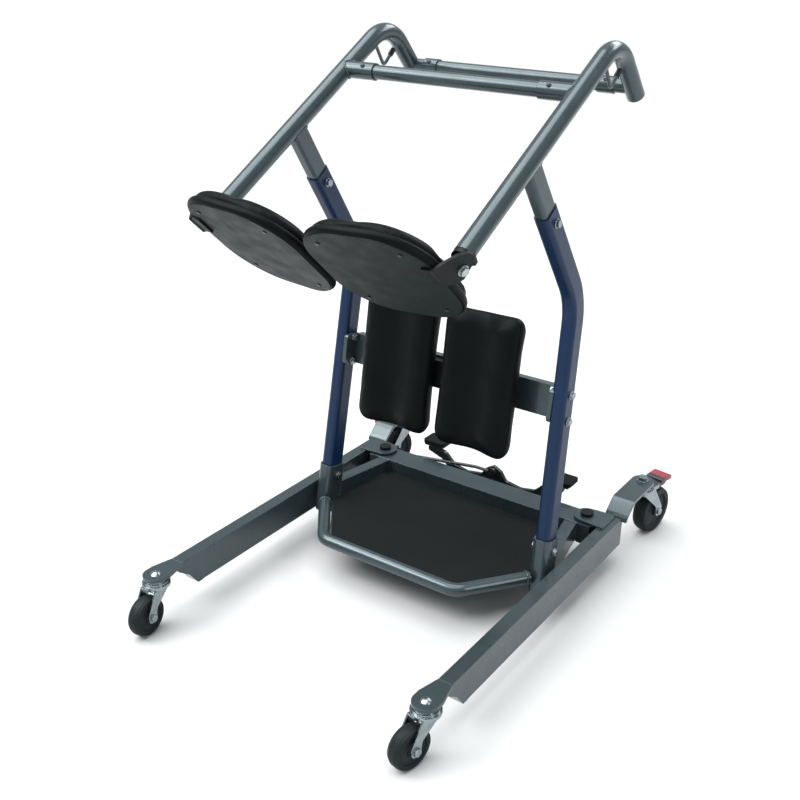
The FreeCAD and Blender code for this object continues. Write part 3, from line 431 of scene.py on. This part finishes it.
def inflate(name, bm, matrix, keep_inside, swell, pressure=4.0, voxel=0.005):
    """Remesh a closed form, puff it up with cloth pressure and keep each point near its start.

    No point moves further than the swell, and keep_inside holds all of them in the room the pad has.
    """
    mesh = bpy.data.meshes.new(name)
    bm.to_mesh(mesh)
    bm.free()
    obj = bpy.data.objects.new(name, mesh)
    scene = bpy.context.scene
    scene.collection.objects.link(obj)
    bpy.context.view_layer.objects.active = obj
    remesh = obj.modifiers.new("remesh", "REMESH")
    remesh.mode = "VOXEL"
    remesh.voxel_size = voxel
    remesh.use_smooth_shade = True
    apply_modifier(obj, "remesh")
    relax(obj.data, 4)
    start = read_points(obj.data)
    cloth = obj.modifiers.new("cloth", "CLOTH")
    settings = cloth.settings
    settings.quality = 5
    settings.mass = 0.3
    settings.use_pressure = True
    settings.uniform_pressure_force = pressure
    settings.tension_stiffness = 25
    settings.compression_stiffness = 25
    settings.shear_stiffness = 8
    settings.bending_stiffness = 1.5
    settings.effector_weights.gravity = 0
    cloth.collision_settings.use_collision = False
    cloth.point_cache.frame_start = 1
    cloth.point_cache.frame_end = CLOTH_FRAMES
    for number in range(1, CLOTH_FRAMES + 1):
        scene.frame_set(number)
    apply_modifier(obj, "cloth")
    scene.frame_set(1)
    moved = read_points(obj.data)
    step = moved - start
    size = np.linalg.norm(step, axis=1, keepdims=True)
    moved = start + step * np.minimum(1.0, swell / np.maximum(size, 1e-9))
    moved = keep_inside(moved)
    write_points(obj.data, moved)
    relax(obj.data, 2)
    write_points(obj.data, keep_inside(read_points(obj.data)))
    sub = obj.modifiers.new("sub", "SUBSURF")
    sub.levels = sub.render_levels = 1
    apply_modifier(obj, "sub")
    for face in obj.data.polygons:
        face.use_smooth = True
    obj.data.transform(matrix)
    obj.data.update()
    return obj


def apply_modifier(obj, name):
    """Bake the evaluated mesh into the object and drop the modifier."""
    bpy.context.view_layer.update()
    graph = bpy.context.evaluated_depsgraph_get()
    mesh = bpy.data.meshes.new_from_object(obj.evaluated_get(graph))
    old = obj.data
    obj.modifiers.remove(obj.modifiers[name])
    obj.data = mesh
    bpy.data.meshes.remove(old)


def read_points(mesh):
    co = np.zeros(len(mesh.vertices) * 3)
    mesh.vertices.foreach_get("co", co)
    return co.reshape(-1, 3)


def write_points(mesh, points):
    mesh.vertices.foreach_set("co", points.ravel())
    mesh.update()


def relax(mesh, rounds):
    """Smooth vertex positions along the surface's own edges."""
    b = bmesh.new()
    b.from_mesh(mesh)
    for _ in range(rounds):
        bmesh.ops.smooth_vert(b, verts=b.verts, factor=0.5, use_axis_x=True, use_axis_y=True, use_axis_z=True)
    b.to_mesh(mesh)
    b.free()


def frame_matrix(origin, across, normal):
    z = Vector(normal).normalized()
    x = (Vector(across) - z * Vector(across).dot(z)).normalized()
    y = z.cross(x)
    m = Matrix((x, y, z)).transposed().to_4x4()
    m.translation = origin
    return m


FLIP = Matrix.Diagonal((-1, 1, 1, 1))
VINYL = "cushion_black"


def mirrored(obj, name, body, node):
    """The left-hand twin of a right-hand piece."""
    mesh = obj.data.copy()
    mesh.transform(FLIP)
    mesh.flip_normals()
    twin = bpy.data.objects.new(name, mesh)
    bpy.context.scene.collection.objects.link(twin)
    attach(twin, body)
    if node:
        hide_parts(node)
    return twin


def upholster(pad, node, bodies):
    """Cover a right-hand pad, add its left-hand twin, and let both stand in for the plain pads."""
    pad.data.materials.clear()
    pad.data.materials.append(MATERIALS[VINYL])
    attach(pad, bodies[0])
    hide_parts(node + "_right")
    twin = mirrored(pad, node + "_left_vinyl", bodies[1], node + "_left")


# ------------------------------------------------------------------ seat cushions

SEAT = frame_matrix(SEAT_EDGE, SEAT_OUT, SEAT_NORMAL)


SEAT_CENTRE = Vector((-0.11435, 0.002, 0))
SEAT_HALF = (0.10835, 0.119, 0.082)


def seat_ring(grow, z, steps=12):
    """The seat's outline, grown or shrunk, at a height over the board's underside."""
    half_x, half_y, corner = (size + grow for size in SEAT_HALF)
    return [p + SEAT_CENTRE + Vector((0, 0, z)) for p in rounded_rectangle(half_x, half_y, corner, steps)]


def seat_cushion():
    """Foam cushion under stretched vinyl: full rolled edge and crowned top."""
    profile = [(0.0084, 0.0016), (0.0110, 0.0026), (0.0150, 0.0032), (0.0190, 0.0034), (0.0245, 0.0018),
               (0.0285, -0.0028), (0.0312, -0.0105), (0.0328, -0.0230), (0.0338, -0.0400), (0.0343, -0.0600)]
    rings = [seat_ring(grow, z) for z, grow in profile]

    def keep_inside(points):
        points[:, 2] = np.clip(points[:, 2], 0.0084, 0.0375)
        return points

    return inflate("seat_cushion_right_vinyl", loft(rings), SEAT, keep_inside, SWELL)


def seat_edging():
    """Vinyl pulled round the board's edge: a soft lip all the way round."""
    rows = []
    for k in range(14):
        t = 2 * math.pi * k / 14
        out = math.cos(t)
        rows.append(seat_ring(out * (0.0052 if out > 0 else 0.0030), 0.0086 + 0.0070 * math.sin(t), 20))
    b = loft([[SEAT @ p for p in ring] for ring in rows], closed=True)
    return new_object("seat_edging_right", b, "seat_right", VINYL)


upholster(seat_cushion(), "seat_cushion", ("seat_right", "seat_left"))
mirrored(seat_edging(), "seat_edging_left", "seat_left", None)


# ------------------------------------------------------------------ knee pads

LEAN = math.radians(9.08)
KNEE = Matrix.Translation((0, 0.0806, 0.399)) @ Matrix.Rotation(-LEAN, 4, "X")


def knee_section():
    """Outline of the pad across the shins, and the middle line that it rounds off towards."""
    half, back, front = 0.0815, 0.0195, -0.0190
    hollow = 0.0130
    outer = []
    spine = []
    steps = 44
    for i in range(steps + 1):
        x = -half + 2 * half * i / steps
        u = abs(x) / half
        roll = 1 - max(0.0, (u - 0.80) / 0.20) ** 2.2
        dip = 0.5 + 0.5 * math.cos(math.pi * min(1.0, u / 0.62))
        y = front + hollow * dip + (1 - math.sqrt(max(0.0, roll))) * 0.020
        outer.append(Vector((x, y, 0)))
    for i in range(steps + 1):
        x = half - 2 * half * i / steps
        u = abs(x) / half
        roll = 1 - max(0.0, (u - 0.88) / 0.12) ** 2.2
        outer.append(Vector((x * 0.999, back - (1 - math.sqrt(max(0.0, roll))) * 0.014, 0)))
    for p in outer:
        u = abs(p.x) / half
        dip = 0.5 + 0.5 * math.cos(math.pi * min(1.0, u / 0.62))
        middle = (back + front + hollow * dip) / 2
        limit = half - 0.020
        spine.append(Vector((max(-limit, min(limit, p.x)), middle, 0)))
    return outer, spine


def knee_pad():
    """Upholstered shin pad with rolled sides round a hollowed face."""
    outer, spine = knee_section()
    tall, round_off = 0.1355, 0.030
    low = []
    for angle in range(80, 0, -9):
        a = math.radians(angle)
        low.append((-tall + round_off * (1 - math.sin(a)), math.cos(a)))
    levels = low + [(-0.05, 1.0), (0.0, 1.0), (0.05, 1.0)] + [(-z, k) for z, k in reversed(low)]
    made = []
    for z, k in levels:
        made.append([s + (p - s) * k + Vector((0.0885, -0.0375, 0.013 + z)) for p, s in zip(outer, spine)])

    def keep_inside(points):
        points[:, 1] = np.clip(points[:, 1], -0.0600, -0.0165)
        points[:, 0] = np.clip(points[:, 0], 0.0045, 0.1725)
        points[:, 2] = np.clip(points[:, 2], 0.013 - 0.137, 0.013 + 0.137)
        return points

    return inflate("knee_pad_right_vinyl", loft(made), KNEE, keep_inside, SWELL)


upholster(knee_pad(), "knee_pad", ("frame", "frame"))


# ------------------------------------------------------------------ weld beads

def bead(points, radius, closed, pitch=0.0032):
    """A weld bead: a tube along a line whose thickness ripples once per puddle."""
    line = [Vector(p) for p in points]
    if closed:
        line.append(line[0])
    fine = []
    for a, b in zip(line, line[1:]):
        n = max(1, int(round((b - a).length / (pitch / 4))))
        fine += [a.lerp(b, i / n) for i in range(n)]
    if not closed:
        fine.append(line[-1])
    count = len(fine)
    rings = []
    travel = 0.0
    side_before = None
    for i in range(count):
        before = fine[i - 1] if (i > 0 or closed) else fine[i]
        after = fine[(i + 1) % count] if (i < count - 1 or closed) else fine[i]
        way = (after - before).normalized()
        if i:
            travel += (fine[i] - fine[i - 1]).length
        ripple = 1 + 0.16 * math.sin(2 * math.pi * travel / pitch) + 0.07 * math.sin(travel * 911.0)
        end = 1.0 if closed else min(1.0, 0.25 + 0.25 * min(i, count - 1 - i))
        side = side_before - way * side_before.dot(way) if side_before is not None else way.orthogonal()
        side.normalize()
        side_before = side
        up = way.cross(side)
        size = radius * ripple * end
        rings.append([fine[i] + (side * math.cos(t) + up * math.sin(t)) * size
                      for t in (2 * math.pi * k / 8 for k in range(8))])
    return loft(rings, closed)


def welds(name, lines, body, radius=0.0021, slot="frame_grey"):
    """Several beads on one body as one piece."""
    whole = bmesh.new()
    for points, closed in lines:
        one = bead(points, radius, closed)
        mesh = bpy.data.meshes.new("bead")
        one.to_mesh(mesh)
        one.free()
        whole.from_mesh(mesh)
        bpy.data.meshes.remove(mesh)
    return new_object(name, whole, body, slot)


def circle(centre, way, radius, count=40):
    way = Vector(way).normalized()
    side = way.orthogonal().normalized()
    up = way.cross(side)
    return [Vector(centre) + (side * math.cos(t) + up * math.sin(t)) * radius
            for t in (2 * math.pi * k / count for k in range(count))]


def mast_point(z):
    """Axis of the straight lower mast, right side, at a height."""
    return Vector((0.252 - (z - 0.091) * 0.021 / 0.676, 0.0314 + (z - 0.091) * 0.0796 / 0.498, z))


MAST_BEND = mast_point(0.589)
MAST_TOP = Vector((0.231, -0.011, 0.767))
UPPER = (MAST_TOP - MAST_BEND).normalized()


def to_tube(start, way, line_point, line_way, radius):
    """First point along a ray at a distance from an axis line."""
    p = start - line_point
    a = way - line_way * way.dot(line_way)
    c = p - line_way * p.dot(line_way)
    qa, qb, qc = a.dot(a), 2 * a.dot(c), c.dot(c) - radius * radius
    root = qb * qb - 4 * qa * qc
    if qa < 1e-12 or root < 0:
        return None
    return start + way * ((-qb - math.sqrt(root)) / (2 * qa))


def stub_weld():
    """Saddle line where the oval stub meets the underside of the handlebar tube."""
    width, depth = 0.0234 / 2, 0.0374 / 2
    across = Vector((0, -1, 0))
    across = (across - UPPER * across.dot(UPPER)).normalized()
    wide = UPPER.cross(across)
    out = []
    for p in rounded_rectangle(width, depth, 0.0065, 4):
        ray = MAST_TOP + wide * p.x + across * p.y
        hit = to_tube(ray, UPPER, TUBE_START, TUBE_WAY, TUBE_R + WELD_GAP)
        if hit is not None:
            out.append(hit)
    return out


def sleeve_weld(y, z):
    """Line where a crossbar's sleeve meets the side tube."""
    out = []
    for p in circle((0.17, y, z), (1, 0, 0), SLEEVE_R, 32):
        hit = to_tube(p, Vector((1, 0, 0)), TUBE_START, TUBE_WAY, TUBE_R + WELD_GAP)
        if hit is not None:
            out.append(hit)
    return out


def flipped(lines):
    return [([Vector((-p[0], p[1], p[2])) for p in points], closed) for points, closed in lines]


def rectangle(x0, x1, y, z0, z1):
    return [Vector((x0, y, z0)), Vector((x1, y, z0)), Vector((x1, y, z1)), Vector((x0, y, z1))]


frame_lines = [
    (stub_weld(), True),
    (sleeve_weld(0.076, 0.937), True),
    (circle((0.2362, -0.0030, 0.080), (0.604, 0.797, 0), 0.0127, 40), True),
    (rectangle(0.2135, 0.2385, 0.1926, 0.0640, 0.1040), True),
    ([Vector((0.2400, 0.0540, 0.1042)), Vector((0.2640, 0.0540, 0.1042))], False),
    ([Vector((0.2395, 0.0545, 0.0645)), Vector((0.2395, 0.0545, 0.1040))], False),
]
welds("welds_frame_right", frame_lines, "frame")
welds("welds_frame_left", flipped(frame_lines), "frame")
leg_lines = [
    ([Vector((0.2806, 0.1950, 0.1075)), Vector((0.2806, 0.2530, 0.1075))], False),
    ([Vector((0.2925, 0.1945, 0.1078)), Vector((0.2925, 0.2520, 0.1078))], False),
]
welds("welds_leg_right", leg_lines, "leg_right", 0.0019)
welds("welds_leg_left", flipped(leg_lines), "leg_left", 0.0019)


# ------------------------------------------------------------------ studio

def studio_material(name, color, rough):
    s = Shader(name, rough, 0.0, 0.3)
    s.color(s.ramp(s.noise(1.5, 4), (0.3, tuple(0.985 * c for c in color)), (0.7, color)))
    s.bump((s.noise(80, 3), 0.0002))
    return s.mat


def floor_sheet():
    """Wide pale floor that reaches past every view."""
    b = bmesh.new()
    bmesh.ops.create_grid(b, x_segments=8, y_segments=8, size=60)
    mesh = bpy.data.meshes.new("studio_floor")
    b.to_mesh(mesh)
    b.free()
    obj = bpy.data.objects.new("studio_floor", mesh)
    bpy.context.scene.collection.objects.link(obj)
    obj.location = (0, 0, -0.0004)
    obj.data.materials.append(studio_material("studio_floor", (0.50, 0.503, 0.506), 0.9))


def area_light(name, place, target, size, power):
    """A soft rectangular light aimed at a point."""
    light = bpy.data.lights.new(name, "AREA")
    light.shape = "RECTANGLE"
    light.size, light.size_y = size
    light.energy = power
    obj = bpy.data.objects.new(name, light)
    bpy.context.scene.collection.objects.link(obj)
    obj.location = place
    obj.rotation_euler = (Vector(target) - Vector(place)).to_track_quat("-Z", "Y").to_euler()


def sky_light(strength, place, spread):
    """Wide soft light from above that keeps the whole floor pale."""
    light = bpy.data.lights.new("sky", "SUN")
    light.energy = strength
    light.angle = spread
    obj = bpy.data.objects.new("sky", light)
    bpy.context.scene.collection.objects.link(obj)
    obj.rotation_euler = Vector(place).to_track_quat("Z", "Y").to_euler()


floor_sheet()
sky_light(5.2, (-0.25, -0.2, 1.0), 1.2)
world = bpy.data.worlds.new("studio")
bpy.context.scene.world = world
world.use_nodes = True
world.node_tree.nodes["Background"].inputs["Color"].default_value = (0.90, 0.97, 1.0, 1)
world.node_tree.nodes["Background"].inputs["Strength"].default_value = 0.5
area_light("key", (-2.2, -2.0, 3.0), (0, 0, 0.5), (1.8, 1.8), 70)
area_light("rim", (0.6, 2.6, 2.6), (0, 0, 0.6), (2.4, 0.9), 45)
area_light("side", (3.0, -0.6, 1.6), (0, 0, 0.5), (0.8, 2.2), 30)


def look(place, across, ahead, lens):
    """The main camera, from its place and its two directions."""
    data = bpy.data.cameras.new("camera")
    data.sensor_width = 36
    data.lens = lens
    data.clip_end = 200
    camera = bpy.data.objects.new("camera", data)
    bpy.context.scene.collection.objects.link(camera)
    right = Vector(across).normalized()
    forward = Vector(ahead).normalized()
    up = right.cross(forward).normalized()
    right = forward.cross(up)
    pose = Matrix((right, up, -forward)).transposed().to_4x4()
    pose.translation = place
    camera.matrix_world = pose
    bpy.context.scene.camera = camera


look((1.0055, -1.5148, 1.1991), (0.8177, 0.5756, 0.0087), (-0.5212, 0.7468, -0.4130), 48.76)
bpy.context.scene.view_settings.view_transform = "Standard"
